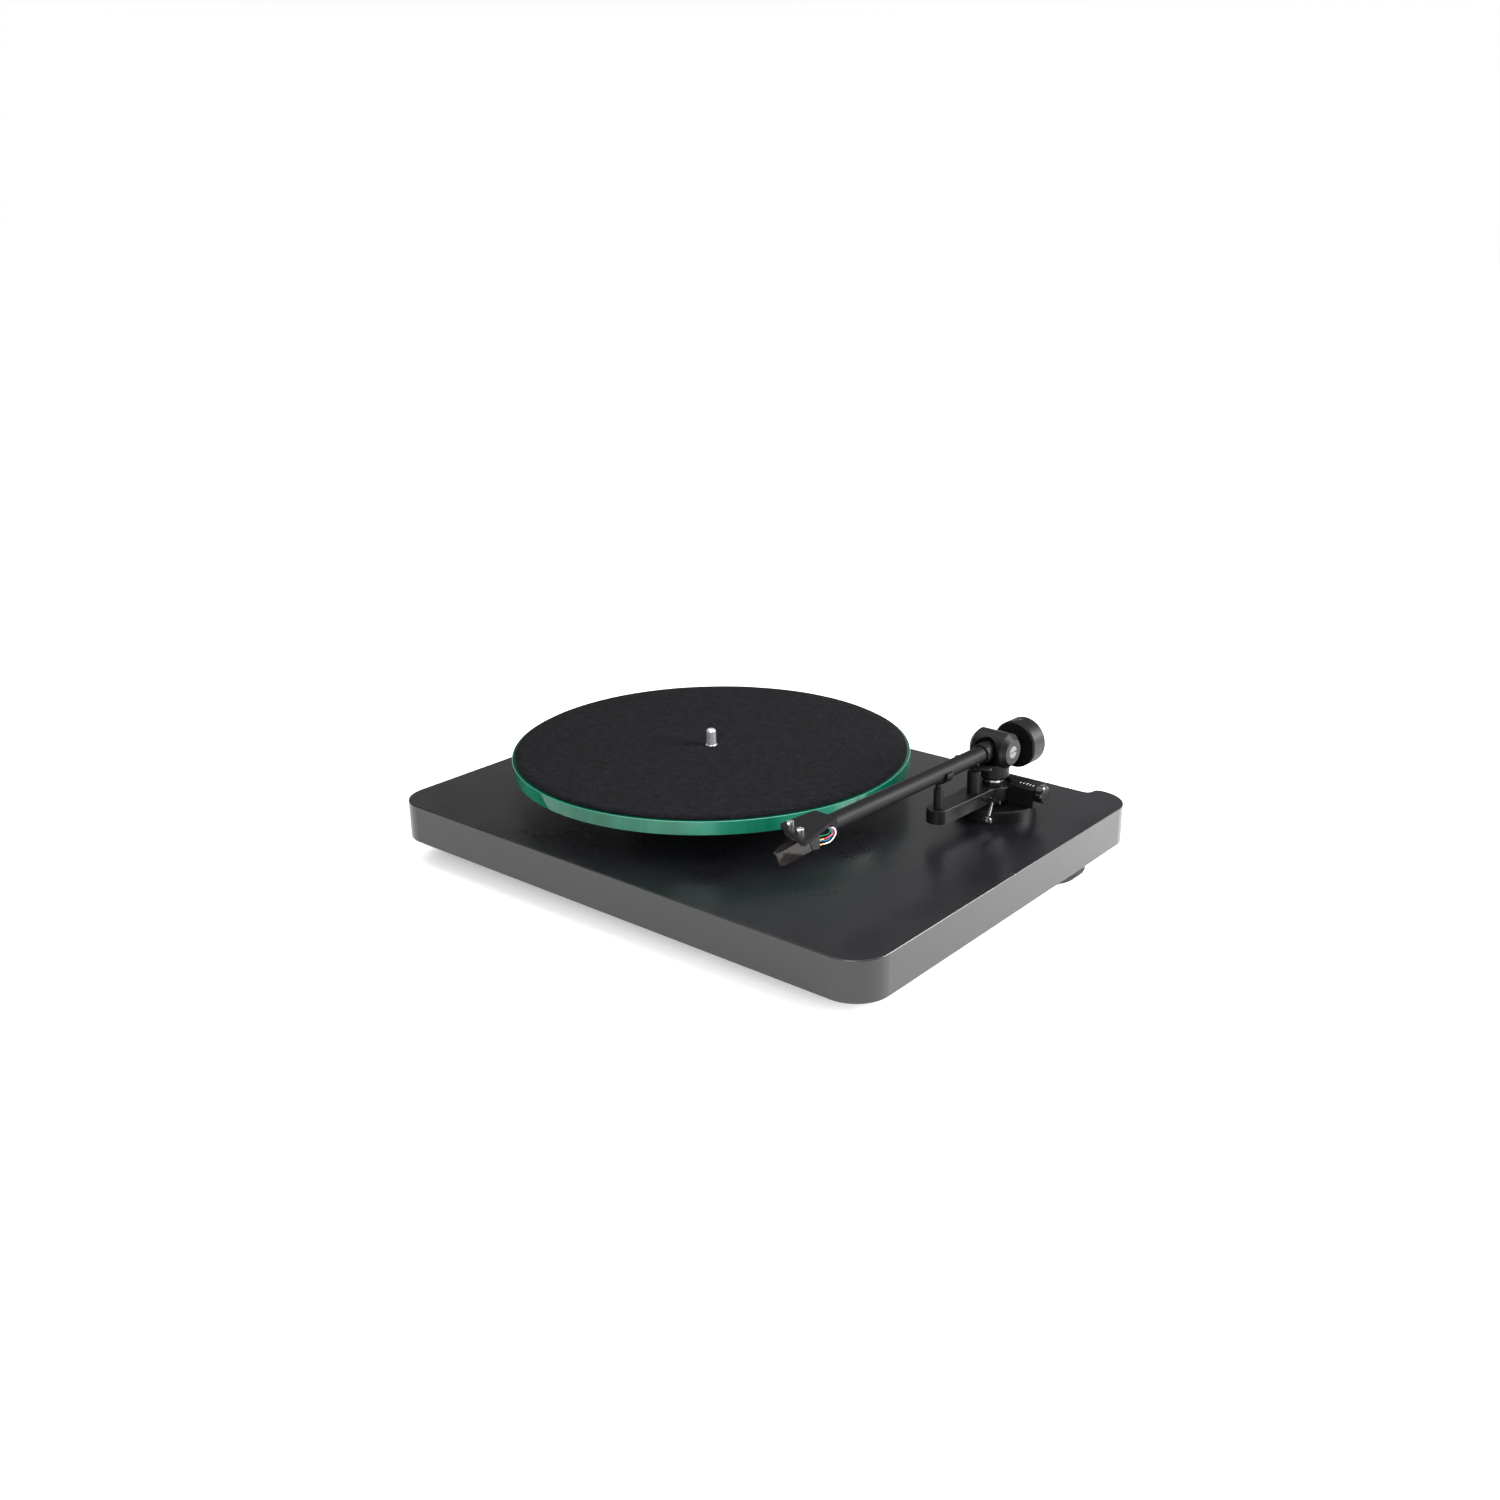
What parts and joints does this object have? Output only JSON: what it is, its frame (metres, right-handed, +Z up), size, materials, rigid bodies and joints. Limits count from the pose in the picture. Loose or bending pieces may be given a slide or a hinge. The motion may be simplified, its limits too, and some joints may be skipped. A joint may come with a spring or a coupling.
{
  "type": "turntable record player",
  "caption": "Belt-drive record player: black plinth with rounded corners on round feet, glass platter with felt mat, straight tonearm with counterweight, rest and cue lever.",
  "frame": {"origin": "on the surface that the feet stand on, under the middle of the plinth", "axes": "+X to the right, where the tonearm stands, +Y to the rear, where the connectors are, +Z up"},
  "size_m": [0.435, 0.339, 0.1102],
  "materials": {
    "plinth_lacquer": "satin black lacquer over fibreboard",
    "black_rubber": "matte rubber",
    "black_plastic": "fine matte plastic",
    "gloss_black": "gloss black plastic",
    "satin_black_metal": "satin black anodised and painted metal",
    "glass_green": "clear float glass, green at the edge",
    "felt": "pressed wool felt",
    "bright_steel": "bright turned steel",
    "zinc_steel": "zinc plated steel",
    "bearing_brass": "turned brass",
    "gold_contact": "gold plated",
    "weight_steel": "black coated steel, satin",
    "arm_aluminium": "satin black anodised aluminium",
    "board_green": "solder mask",
    "cartridge_plastic": "fine matte plastic",
    "guard_smoke": "smoky transparent plastic",
    "stylus_orange": "moulded plastic",
    "lead_insulation": "coloured insulation",
    "belt_rubber": "ground rubber",
    "arm_pulley": "turned aluminium"
  },
  "bodies": {
    "base": {"plinth": "plinth_lacquer", "foot_front_left": "black_plastic", "foot_front_right": "black_plastic", "foot_rear_left": "black_plastic", "foot_rear_right": "black_plastic", "foot_pads": "black_rubber", "foot_screws": "zinc_steel", "bearing_housing": "bearing_brass", "thrust_ball": "bright_steel", "bearing_nut": "bearing_brass", "motor_can": "zinc_steel", "motor_bracket": "zinc_steel", "motor_grommets": "black_rubber", "bracket_screws": "zinc_steel", "drive_belt": "belt_rubber", "motor_cover": "black_plastic", "control_cover": "black_plastic", "case_screws": "zinc_steel", "control_board": "board_green", "power_switch_body": "black_plastic", "phono_panel": "satin_black_metal", "phono_sockets": "gold_contact", "ground_post": "gold_contact", "dc_inlet": "black_plastic", "arm_base_disc": "satin_black_metal", "arm_mount_nut": "zinc_steel", "arm_pillar": "satin_black_metal", "yaw_bearings": "bright_steel", "pillar_ring": "bright_steel", "rest_bar": "black_plastic", "rest_post": "satin_black_metal", "rest_clip": "black_plastic", "lift_cylinder": "satin_black_metal", "bias_box": "black_plastic"},
    "platter": {"spindle_shaft": "bright_steel", "subplatter": "black_plastic", "glass_platter": "glass_green", "felt_mat": "felt"},
    "pulley": {"motor_shaft": "bright_steel", "motor_pulley": "arm_pulley"},
    "yoke": {"yoke_housing": "satin_black_metal", "yaw_shaft": "bright_steel", "pivot_screws": "bright_steel"},
    "arm": {"arm_hub": "arm_aluminium", "tone_tube": "arm_aluminium", "rear_stub": "satin_black_metal", "headshell": "arm_aluminium", "headshell_screws": "bright_steel", "cartridge_body": "cartridge_plastic", "cartridge_pins": "gold_contact", "cartridge_leads": "lead_insulation", "stylus_holder": "stylus_orange"},
    "weight": {"counterweight": "weight_steel", "weight_screw": "bright_steel"},
    "guard": {"stylus_guard": "guard_smoke"},
    "lever": {"cue_lever": "satin_black_metal"},
    "platform": {"lift_platform": "satin_black_metal"},
    "bias": {"bias_knob": "gloss_black"},
    "rocker": {"power_rocker": "gloss_black"}
  },
  "joints": [
    {"name": "platter_spin", "type": "hinge", "parent": "base", "child": "platter", "pos_m": [-0.0505, 0.002, 0.069], "axis": [0, 0, 1], "continuous": true},
    {"name": "pulley_spin", "type": "hinge", "parent": "base", "child": "pulley", "pos_m": [-0.1125, 0.064, 0.058], "axis": [0, 0, 1], "continuous": true},
    {"name": "arm_swing", "type": "hinge", "parent": "base", "child": "yoke", "pos_m": [0.1464, 0.0855, 0.0973], "axis": [0, 0, 1], "range_deg": [-47, 0]},
    {"name": "arm_lift", "type": "hinge", "parent": "yoke", "child": "arm", "pos_m": [0.1464, 0.0855, 0.0973], "axis": [-0.9993, 0.0384, 0], "range_deg": [0, 6]},
    {"name": "weight_slide", "type": "slide", "parent": "arm", "child": "weight", "axis": [0.0384, 0.9993, 0], "range_m": [-0.006, 0.003]},
    {"name": "guard_pull", "type": "slide", "parent": "arm", "child": "guard", "axis": [-0.3678, -0.8581, -0.3584], "range_m": [0, 0.014]},
    {"name": "cue_turn", "type": "hinge", "parent": "base", "child": "lever", "pos_m": [0.15, 0.0615, 0.067], "axis": [-1, 0, 0], "range_deg": [0, 70]},
    {"name": "platform_slide", "type": "slide", "parent": "base", "child": "platform", "axis": [0, 0, 1], "range_m": [-0.002, 0]},
    {"name": "bias_pull", "type": "slide", "parent": "base", "child": "bias", "axis": [1, 0, 0], "range_m": [0, 0.008]},
    {"name": "power_rock", "type": "hinge", "parent": "base", "child": "rocker", "pos_m": [-0.188, -0.11, 0.022], "axis": [1, 0, 0], "range_deg": [-16, 0]}
  ],
  "couplings": [
    {"joint": "pulley_spin", "follows": "platter_spin", "ratio": 7.5},
    {"joint": "platform_slide", "follows": "cue_turn", "m_per_rad": -0.001636}
  ]
}
